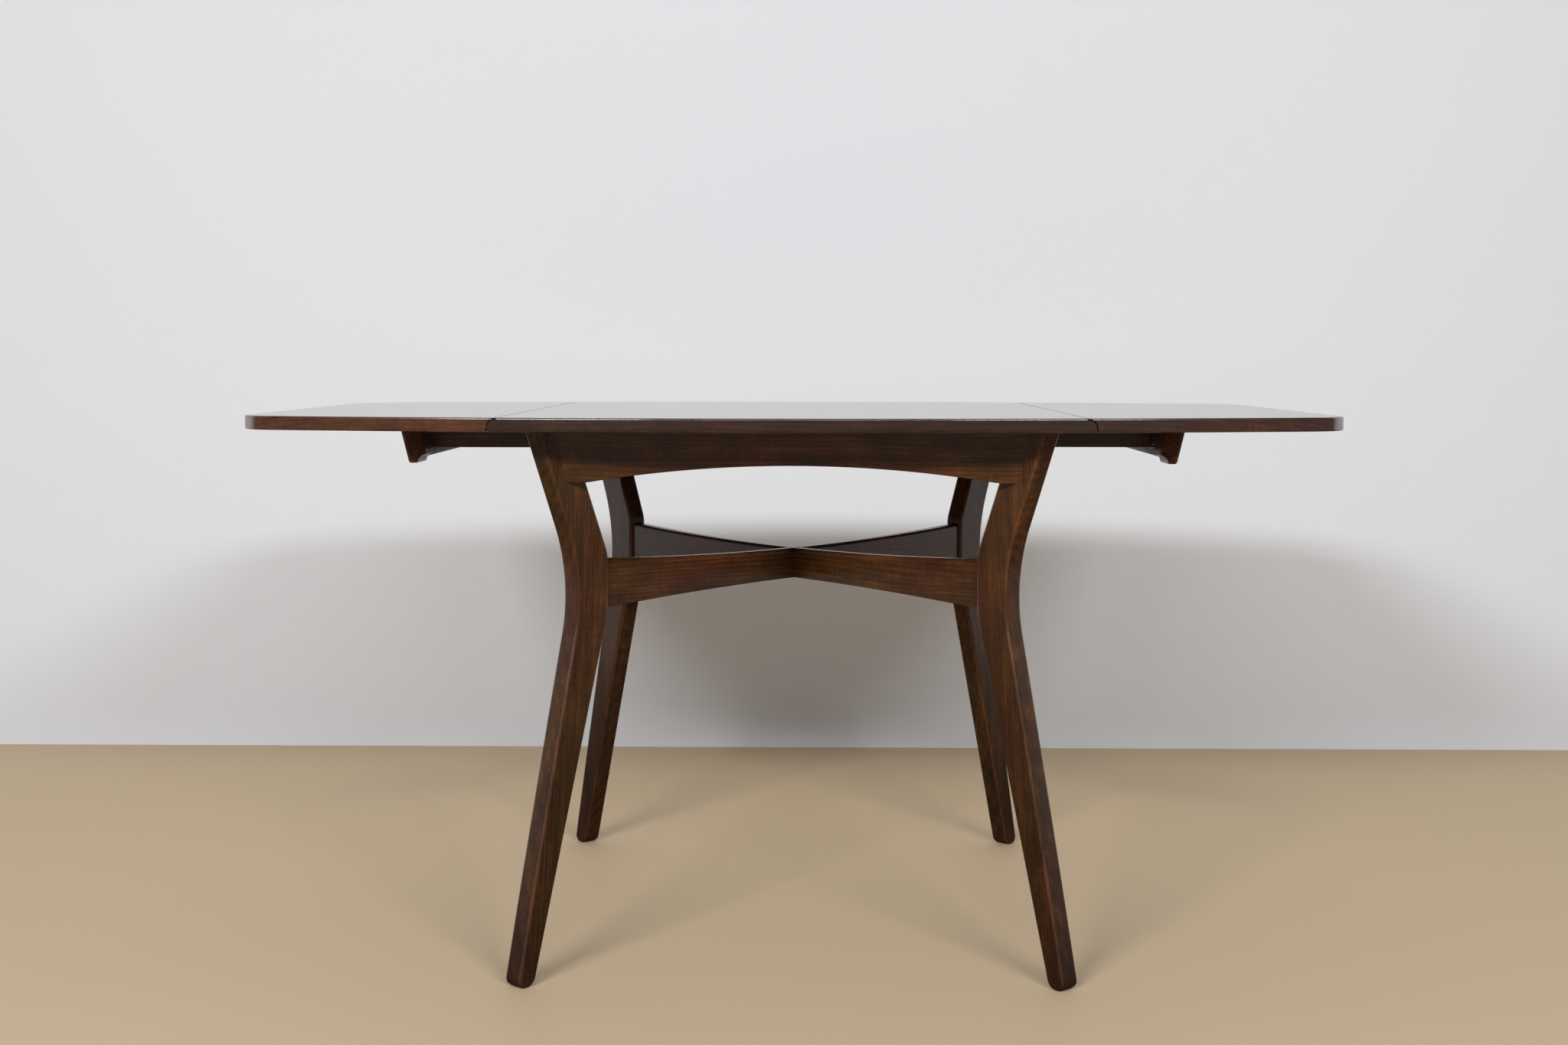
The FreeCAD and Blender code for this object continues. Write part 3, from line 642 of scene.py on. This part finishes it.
def levels():
    rows = [(under_z + depth, inset, wear_and_highlight * under_wear_and_highlight)
            for depth, inset, wear_and_highlight in quarter(under_ease, steps=3)]
    rows.append((joint_z, 0.0, 0.0))
    for i in range(1, joint_steps):
        rows.append((joint_z + joint_radius * math.sin(math.pi / 2 * i / joint_steps), 0.0, 0.0))
    return rows + [(top_z - depth, inset, wear_and_highlight)
                   for depth, inset, wear_and_highlight in reversed(quarter(top_ease, steps=5))]


def lip_at(z, radius):
    rise = max(0.0, z - (top_z - radius))
    return radius - math.sqrt(max(0.0, radius ** 2 - rise ** 2))


def centre_edge(z):
    rise = max(0.0, z - joint_z)
    return joint_x + math.sqrt(max(0.0, joint_radius ** 2 - rise ** 2)) - lip_at(z, centre_lip)


def leaf_edge(z):
    rise = max(0.0, z - joint_z)
    hollow = math.sqrt(max(0.0, hollow_radius ** 2 - rise ** 2))
    return joint_x + max(seam, hollow) + lip_at(z, leaf_lip)


def front_y(x, inset):
    return half_depth_middle - bow_radius + math.sqrt((bow_radius - inset) ** 2 - x ** 2)


def eased_corner(edge, way, inset):
    x, y = edge - way * end_ease, front_y(edge - way * end_ease, inset) - end_ease
    turns = [math.pi / 2 * i / end_steps for i in range(end_steps + 1)]
    return [(x + way * end_ease * math.sin(a), y + end_ease * math.cos(a)) for a in turns]


def centre_ring(z, inset):
    corner = eased_corner(centre_edge(z), 1, inset)
    last_x = corner[0][0]
    spans = [last_x * (i / edge_steps - 1) for i in range(1, 2 * edge_steps)]
    half = [(-x, y) for x, y in reversed(corner)] + [(x, front_y(x, inset)) for x in spans] + corner
    front = [Vector((x, -y, z)) for x, y in half]
    return front + [Vector((-p.x, -p.y, z)) for p in front]


def leaf_ring(z, inset, side):
    turn_x = half_length - corner_radius
    centre_y = bow_radius - half_depth_middle
    turn_y = math.sqrt((bow_radius - corner_radius) ** 2 - turn_x ** 2)
    meet = math.atan2(turn_x, turn_y)
    last_x = (bow_radius - inset) * math.sin(meet)
    half = list(reversed(eased_corner(leaf_edge(z), -1, inset)))
    first_x = half[-1][0]
    for i in range(1, edge_steps):
        x = first_x + (last_x - first_x) * i / edge_steps
        half.append((x, front_y(x, inset)))
    for i in range(corner_steps + 1):
        a = meet + (math.pi / 2 - meet) * i / corner_steps
        half.append((turn_x + (corner_radius - inset) * math.sin(a),
                     turn_y - centre_y + (corner_radius - inset) * math.cos(a)))
    front = [Vector((x * side, -y, z)) for x, y in half]
    return front + [Vector((p.x, -p.y, z)) for p in reversed(front)]


print(len(levels()), "level rings in each board of the top")

# %% [markdown]
# Steel hinges are let into the underside, so the boards are hollowed there with one prism for
# each hinge: a shallow bed for the flap, a round-topped channel for the knuckles, and a slot for
# the neck of the moving flap.

# %% Top boards
hinge_places = [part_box("hinge_right_front_pin"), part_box("hinge_right_back_pin")]
hinge_room = 0.2 * MM
fixed_bed, moving_bed = 30.2 * MM, 45.2 * MM
below, beyond = under_z - 20.0 * MM, 60.0 * MM
flap_top = under_z + 1.6 * MM
neck_top = flap_top + 0.9 * MM
channel, channel_steps = 5.4 * MM, 12


def prism(name, profile, sides):
    parts = []
    for low, high in hinge_places:
        for side in sides:
            rings = [[Vector((x * side, y, z)) for x, z in profile]
                     for y in (low.y - hinge_room, high.y + hinge_room)]
            parts.append(lofted(name, rings, (0, 0)))
    bm = bmesh.new()
    for part in parts:
        bm.from_mesh(part.data)
    mesh = bpy.data.meshes.new(name)
    bm.to_mesh(mesh)
    bm.free()
    for part in parts[1:]:
        bpy.data.objects.remove(part)
    parts[0].data = mesh
    return parts[0]


turns = [math.pi * i / channel_steps for i in range(channel_steps + 1)]
arched = [(joint_x - channel * math.cos(a), joint_z + channel * math.sin(a)) for a in turns]
centre_bed = [(joint_x - fixed_bed, below), (joint_x - fixed_bed, flap_top),
              (joint_x - channel, flap_top), *arched, (joint_x + channel, neck_top),
              (joint_x + beyond, neck_top), (joint_x + beyond, below)]
leaf_bed = [(joint_x, below), (joint_x, flap_top), (joint_x + moving_bed, flap_top),
            (joint_x + moving_bed, below)]

rows = levels()
wear_and_highlight = [w for z, inset, w in rows]
centre = lofted("top_centre_board", [centre_ring(z, inset) for z, inset, w in rows], wear_and_highlight)
cut(centre, prism("centre_beds", centre_bed, (-1, 1)))
finished(centre, wood_top, "frame", "top", "top_centre")
for name, side in (("left", -1), ("right", 1)):
    rings = [leaf_ring(z, inset, side) for z, inset, w in rows]
    leaf = lofted("leaf_" + name + "_board", rings, wear_and_highlight)
    cut(leaf, prism("leaf_beds", leaf_bed, (side,)))
    finished(leaf, wood_leaf[name], "leaf_" + name, "top", "leaf_" + name)

# %% [markdown]
# Each pull-out support is an end rail that leans like the aprons, and two lopers that run in
# under the top. Between its two low ends the rail is cut away for the fingers, and a cove runs
# along its inner lower edge. Its ends are mitred to the faces of the legs it closes against. One
# thing to know when drawing rings in: an ease wider than a corner's round folds the ring over
# itself. The outer ease here is a little wider than the round of the recess's low corners, so
# the outer face closes over much of the recess. An ease under 3 mm would leave it open. The
# lopers' rings draw in by a little less than their corners' round, so they don't fold.

# %% Supports
travel = 165.0 * MM
support_top = under_z - 0.3 * MM
rail_low = support_top - 43.5 * MM
rail_reach = corner_x + 15.0 * MM
rail_across = 20.0 * MM / lean_cosine
rail_outer_ease, rail_inner_ease = 3.5 * MM, 1.2 * MM
rail_end = 350.0 * MM
mitre_gap = 0.3 * MM
cove, cove_steps = 11.0 * MM, 40
grip_half_span = corner_y - 86.5 * MM
grip_height = 21.5 * MM
grip_inner_round, grip_outer_round = 8.0 * MM, 3.0 * MM
loper_ease, loper_corner_round, unfolded = 1.0 * MM, 1.0 * MM, 0.9


def rail_outline():
    half = [Vector((grip_half_span, rail_low + grip_height)), Vector((grip_half_span, rail_low)),
            Vector((rail_end, rail_low)), Vector((rail_end, support_top))]
    corners = half + [Vector((-p.x, p.y)) for p in reversed(half)]
    radii = [grip_inner_round, grip_outer_round, 0, 0]
    return round_corners(corners, radii + radii[::-1], steps=6)


def rail_ring(outline, depth, inset, side):
    ring = []
    for p in drawn_in(outline, inset):
        x = rail_reach - depth - (support_top - p.y) * lean
        mitre = (x * math.sin(diagonal) - leg_half - mitre_gap) / math.cos(diagonal)
        y = abs(p.x) + (mitre - rail_end if abs(p.x) > (rail_end + grip_half_span) / 2 else 0)
        ring.append(Vector((side * (x + travel), math.copysign(y, p.x), p.y)))
    return ring


def rod(name, x, z, radius, steps):
    turns = [math.tau * i / steps for i in range(steps)]
    return lofted(name, [[Vector((x + radius * math.cos(a), y, z + radius * math.sin(a)))
                          for a in turns] for y in (-corner_reach, corner_reach)], (0, 0))


outline = rail_outline()
cove_x = rail_reach - rail_across - (support_top - rail_low) * lean + travel
for name, side in (("left", -1), ("right", 1)):
    rows = stations(rail_across, rail_outer_ease, steps=5, far_radius=rail_inner_ease)
    rings = [rail_ring(outline, depth, inset, side) for depth, inset, wear_and_highlight in rows]
    rail = lofted("end_rail_" + name + "_board", rings, [wear_and_highlight for depth, inset, wear_and_highlight in rows])
    cut(rail, rod("cove", side * cove_x, rail_low, cove, cove_steps))
    finished(rail, wood_across, "support_" + name, "frame_wood", "end_rail_" + name)
    for place in ("front", "back"):
        node = "loper_" + name + "_" + place
        low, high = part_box(node)
        rows = stations(high.x - low.x, loper_ease, steps=2)
        corners = [Vector((low.y, low.z)), Vector((high.y, low.z)),
                   Vector((high.y, high.z)), Vector((low.y, high.z))]
        bar = round_corners(corners, [loper_corner_round] * 4, steps=3)
        rings = [[Vector((low.x + depth, p.x, p.y)) for p in drawn_in(bar, inset * unfolded)]
                 for depth, inset, wear_and_highlight in rows]
        loper = lofted(node + "_bar", rings, [wear_and_highlight for depth, inset, wear_and_highlight in rows])
        finished(loper, wood_along, "support_" + name, "inner_wood", node)

# %% [markdown]
# Steel parts are mild steel, rolled and dulled with age: a metal, rough enough to blur what it
# mirrors, with soft dark patches 6 mm across where oil has dried. Rolling leaves scratches; they
# are drawn at 0.25 mm, coarser than real ones, so that they show. The floors of the screws' slots
# are painted dark, as painted shade, and a point lies in a slot when it is above the underside of
# the top.


# %% Steel
def dulled_steel(name, bright, dull, rough, slot_floor=None):
    material, tree, shader = started(name, Metallic=1.0)
    place = add(tree, "ShaderNodeTexCoord", output="Object")
    patch = add(tree, "ShaderNodeTexNoise", {"Vector": place, "Scale": 1 / (6.25 * MM), "Detail": 4.0})
    share = add(tree, "ShaderNodeMapRange", (patch, 0.35, 0.65))
    colour = add(tree, "ShaderNodeMix", {0: share, 6: linear(dull), 7: linear(bright)}, 2,
                 data_type="RGBA")
    if slot_floor:
        # Painted shade: the floors of the slots are painted dark.
        height = add(tree, "ShaderNodeSeparateXYZ", (place,), "Z")
        painted_slot_shade = add(tree, "ShaderNodeMapRange", (height, slot_floor - 0.08 * MM, slot_floor))
        colour = add(tree, "ShaderNodeMix", {0: painted_slot_shade, 6: colour, 7: linear("#1C1814")}, 2,
                     data_type="RGBA")
    gloss = add(tree, "ShaderNodeMapRange", (patch, 0.3, 0.7, rough[1], rough[0]))
    fine = (1 / (3.333 * MM), 1 / (0.25 * MM), 1 / (3.333 * MM))
    scratch = add(tree, "ShaderNodeMapping", {"Vector": place, "Scale": fine})
    lines = add(tree, "ShaderNodeTexNoise", {"Vector": scratch, "Scale": 1.0})
    bump = add(tree, "ShaderNodeBump", {"Height": lines, "Strength": 0.15, "Distance": 0.05 * MM})
    for socket, value in (("Base Color", colour), ("Roughness", gloss), ("Normal", bump)):
        tree.links.new(value, shader.inputs[socket])
    return material


hinge_steel = dulled_steel("rolled_hinge_steel", "#857C71", "#6A6259", (0.32, 0.5))
screw_steel = dulled_steel("screw_steel", "#A49C90", "#6E675D", (0.28, 0.42))
slotted_steel = dulled_steel("slotted_screw_steel", "#C2B9AB", "#9A9184", (0.28, 0.42), under_z)
print("steels:", hinge_steel.name, screw_steel.name, slotted_steel.name)

# %% [markdown]
# Each hinge flap is held by three countersunk screws, set nearly flush so that the support can
# pass. All heads are alike, so Geometry Nodes make them: a tapered disc with a slot sawn across,
# set on every seat and turned by chance, because no one lines up the slots under a table. The
# seats are measured from the joint's axis and from the middle of the hinge.

# %% Hinge screws
head_taper, sunk_depth, head_sides = 0.95, 0.4 * MM, 40
saw_length, saw_depth = 3.0, 1.8
fixed_seats = ((-23.0, -11.0), (-23.0, 11.0), (-14.0, 0.0))
moving_seats = ((21.0, -11.0), (21.0, 11.0), (36.0, 0.0))


def screw_heads():
    tree = bpy.data.node_groups.new("slotted_screw_heads", "GeometryNodeTree")
    sockets = {}
    for name, kind, value in (("Seats", "Geometry", None), ("Head radius", "Float", 3.3 * MM),
                              ("Proud", "Float", 0.15 * MM), ("Slot width", "Float", 0.9 * MM),
                              ("Seed", "Int", 5), ("Steel", "Material", None)):
        socket = tree.interface.new_socket(name, in_out="INPUT", socket_type="NodeSocket" + kind)
        if value is not None:
            socket.default_value = value
        sockets[name] = socket.identifier
    tree.interface.new_socket("Heads", in_out="OUTPUT", socket_type="NodeSocketGeometry")
    given = add(tree, "NodeGroupInput").node.outputs
    radius, proud = given["Head radius"], given["Proud"]
    deep = add(tree, "ShaderNodeMath", (proud, sunk_depth), operation="ADD")
    lower_radius = add(tree, "ShaderNodeMath", (radius, head_taper), operation="MULTIPLY")
    disc = add(tree, "GeometryNodeMeshCone", {"Vertices": head_sides, "Radius Top": radius,
                                              "Radius Bottom": lower_radius, "Depth": deep})
    drop = add(tree, "ShaderNodeMath", (proud, -1.0), operation="MULTIPLY")
    lowered = add(tree, "ShaderNodeCombineXYZ", {2: drop})
    disc = add(tree, "GeometryNodeTransform", {"Geometry": disc, "Translation": lowered})
    across = add(tree, "ShaderNodeMath", (radius, saw_length), operation="MULTIPLY")
    deep = add(tree, "ShaderNodeMath", (proud, saw_depth), operation="MULTIPLY")
    saw = add(tree, "ShaderNodeCombineXYZ", (given["Slot width"], across, deep))
    saw = add(tree, "GeometryNodeMeshCube", {"Size": saw})
    saw = add(tree, "GeometryNodeTransform", {"Geometry": saw, "Translation": lowered})
    head = add(tree, "GeometryNodeMeshBoolean", (disc, saw), operation="DIFFERENCE")
    luck = add(tree, "FunctionNodeRandomValue", {0: (0.0, 0.0, 0.0), 1: (0.0, 0.0, math.pi),
                                                 "Seed": given["Seed"]}, data_type="FLOAT_VECTOR")
    placed = add(tree, "GeometryNodeInstanceOnPoints", {"Points": given["Seats"], "Instance": head,
                                                        "Rotation": luck})
    real = add(tree, "GeometryNodeRealizeInstances", (placed,))
    steel = add(tree, "GeometryNodeSetMaterial", {"Geometry": real, "Material": given["Steel"]})
    add(tree, "NodeGroupOutput", {"Heads": steel})
    return tree, sockets


heads, sockets = screw_heads()
for body, sides, seats in (("frame", (-1, 1), fixed_seats), ("leaf_left", (-1,), moving_seats),
                           ("leaf_right", (1,), moving_seats)):
    points = [(side * (joint_x + reach * MM), (low.y + high.y) / 2 + across * MM, under_z)
              for side in sides for low, high in hinge_places for reach, across in seats]
    mesh = bpy.data.meshes.new("hinge_screws_" + body)
    mesh.from_pydata(points, [], [])
    screws = bpy.data.objects.new("hinge_screws_" + body, mesh)
    bpy.context.scene.collection.objects.link(screws)
    modifier = screws.modifiers.new("heads", "NODES")
    modifier.node_group = heads
    modifier[sockets["Steel"]] = slotted_steel
    made_plain(screws)
    finished(screws, slotted_steel, body, "screws")
    print(len(points), "screws on", body)

# %% [markdown]
# The solids that are shown as they are get their finish here: hinges, screws, cross rails and
# the stop blocks under the lopers.

# %% Finishes of the solids that stay
for name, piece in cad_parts.items():
    if piece.hide_render:
        continue
    if name.startswith("hinge"):
        material = hinge_steel
    elif name == "top_screws":
        material = screw_steel
    elif name.startswith("cross_rail"):
        material = wood_inner_across
    else:
        material = wood_inner_along
    piece.data.materials.clear()
    piece.data.materials.append(material)
    print(name, "gets", material.name)

# %% [markdown]
# The floor and the wall behind are plain and pale, and belong to the stage. The wall is there
# because the satin top mirrors it at this low angle. Both show only their front, so that the
# table can be looked at from behind and from below as well, and the wall lets the lamps light the
# floor behind it. In the gloss of the wood the floor is painted darker, a painted shade on what the
# wood mirrors, and floor and wall end a few steps to each side, where a room would have its windows.

# %% Stage
stage_reach, wall_y, wall_height = 8.0, 1.19, 3.2
mirrored_to = (2.0, 3.5)


def plain_finish(name, colour, rough, mirrored_as, holds_light=True):
    material, tree, shader = started(name, Roughness=rough)
    ray = add(tree, "ShaderNodeLightPath").node.outputs
    seen = add(tree, "ShaderNodeMix", {0: ray["Is Glossy Ray"], 6: linear(colour),
                                       7: linear(mirrored_as)}, 2, data_type="RGBA")
    tree.links.new(seen, shader.inputs["Base Color"])
    place = add(tree, "ShaderNodeTexCoord", output="Object")
    aside = add(tree, "ShaderNodeSeparateXYZ", (place,), "X")
    aside = add(tree, "ShaderNodeMath", (aside,), operation="ABSOLUTE")
    far = add(tree, "ShaderNodeMapRange", (aside, *mirrored_to))
    far = add(tree, "ShaderNodeMath", (far, ray["Is Glossy Ray"]), operation="MULTIPLY")
    unseen = add(tree, "ShaderNodeNewGeometry", output="Backfacing")
    unseen = add(tree, "ShaderNodeMath", (unseen, far), operation="MAXIMUM")
    if not holds_light:
        unseen = add(tree, "ShaderNodeMath", (unseen, ray["Is Shadow Ray"]), operation="MAXIMUM")
    clear = add(tree, "ShaderNodeBsdfTransparent")
    both = add(tree, "ShaderNodeMixShader", (unseen, shader.outputs[0], clear))
    tree.links.new(both, tree.nodes["Material Output"].inputs["Surface"])
    return material


def stage_plane(name, corners, material):
    mesh = bpy.data.meshes.new(name)
    mesh.from_pydata(corners, [], [(0, 1, 2, 3)])
    piece = bpy.data.objects.new(name, mesh)
    bpy.context.scene.collection.objects.link(piece)
    mesh.materials.append(material)
    print(name, "in", material.name)


floor = [(-stage_reach, -stage_reach, 0), (stage_reach, -stage_reach, 0),
         (stage_reach, stage_reach, 0), (-stage_reach, stage_reach, 0)]
# The floor's second colour, seen only in gloss, is a painted shade.
stage_plane("floor", floor, plain_finish("pale_floor", "#D4BB96", 0.6, "#50483D"))
wall = [(-stage_reach, wall_y, 0), (stage_reach, wall_y, 0),
        (stage_reach, wall_y, wall_height), (-stage_reach, wall_y, wall_height)]
stage_plane("wall", wall, plain_finish("pale_wall", "#E6E9EE", 0.9, "#E6E9EE", holds_light=False))

# %% [markdown]
# Three long, low soft boxes stand in a row behind the camera, a little above it. They are wide,
# so upright edges throw soft shadows and a light line runs along the whole front arris, but not
# tall, so the top's shadow on the aprons is crisp.

# %% Soft boxes
box_width, box_height = 1.5, 0.35
aimed_at = Vector((0, 0, 0.8))


def soft_box(name, place, watts):
    lamp = bpy.data.lights.new(name, "AREA")
    lamp.shape = "RECTANGLE"
    lamp.size, lamp.size_y = box_width, box_height
    lamp.energy = watts
    lamp.color = linear("#FBFCFF")[:3]
    holder = bpy.data.objects.new(name, lamp)
    holder.location = place
    holder.rotation_euler = (aimed_at - Vector(place)).to_track_quat("-Z", "Y").to_euler()
    bpy.context.scene.collection.objects.link(holder)
    print(name, "gives", watts, "W")


soft_box("soft_box_left", (-1.85, -4.2, 2.5), 134.0)
soft_box("soft_box_middle", (0, -4.4, 2.55), 30.0)
soft_box("soft_box_right", (1.85, -4.2, 2.5), 97.0)

# %% [markdown]
# The pale room fills in the rest. Where the camera looks past the stage it sees a plain pale
# background. Glossy wood mirrors that too, less of it from overhead and from behind the camera,
# where a photographer's room is darker. The direction that a ray leaves in tells which is which.

# %% Pale room
turns_pale_ahead, turns_dark_overhead = (0.12, 0.21), (0.35, 0.75)
darkest_mirrored, fill_strength = 0.25, 0.19
world = bpy.data.worlds.new("pale_room")
world.use_nodes = True
bpy.context.scene.world = world
tree = world.node_tree
tree.nodes.clear()
ray = add(tree, "ShaderNodeLightPath").node.outputs
towards = add(tree, "ShaderNodeTexCoord", output="Generated")
way = add(tree, "ShaderNodeSeparateXYZ", (towards,)).node.outputs
ahead = add(tree, "ShaderNodeMapRange", (way["Y"], *turns_pale_ahead, 0.0, 1.0))
level = add(tree, "ShaderNodeMapRange", (way["Z"], *turns_dark_overhead, 1.0, 0.0))
mirrored = add(tree, "ShaderNodeMath", (ahead, level, darkest_mirrored), operation="MULTIPLY_ADD")
fill = add(tree, "ShaderNodeBackground", {"Color": linear("#F4F6FA"), "Strength": fill_strength})
pale = add(tree, "ShaderNodeBackground", {"Color": linear("#F2F3F4"), "Strength": 1.0})
gloss = add(tree, "ShaderNodeBackground", {"Color": linear("#F2F3F4"), "Strength": mirrored})
sky = add(tree, "ShaderNodeMixShader", (ray["Is Glossy Ray"], fill, gloss))
sky = add(tree, "ShaderNodeMixShader", (ray["Is Camera Ray"], sky, pale))
add(tree, "ShaderNodeOutputWorld", {"Surface": sky})
print("room:", world.name, "with", len(tree.nodes), "nodes")

# %% [markdown]
# The camera stands where the photographer stood, found by fitting the table's feet, knees and
# seams. The lens is normal, and a little above the level of the top.

# %% Camera
pitch, yaw, roll = 0.08415, -0.01355, 0.00112
focal_pixels, photo_width = 2562.7, 2048
stands_at = (0.02407, -2.87171, 0.81562)
forward = Vector((math.sin(yaw) * math.cos(pitch), math.cos(yaw) * math.cos(pitch), -math.sin(pitch)))
right = Vector((math.cos(yaw), -math.sin(yaw), 0))
up = right.cross(forward)
right, up = (right * math.cos(roll) + up * math.sin(roll), up * math.cos(roll) - right * math.sin(roll))
lens = bpy.data.cameras.new("camera")
lens.sensor_width = 36.0
lens.lens = focal_pixels / photo_width * lens.sensor_width
lens.clip_start = 0.01
camera = bpy.data.objects.new("camera", lens)
camera.matrix_world = Matrix((right, up, -forward)).transposed().to_4x4()
camera.location = stands_at
bpy.context.scene.collection.objects.link(camera)
bpy.context.scene.camera = camera
bpy.context.scene.view_settings.view_transform = "Standard"
print("lens:", round(lens.lens, 1), "mm")
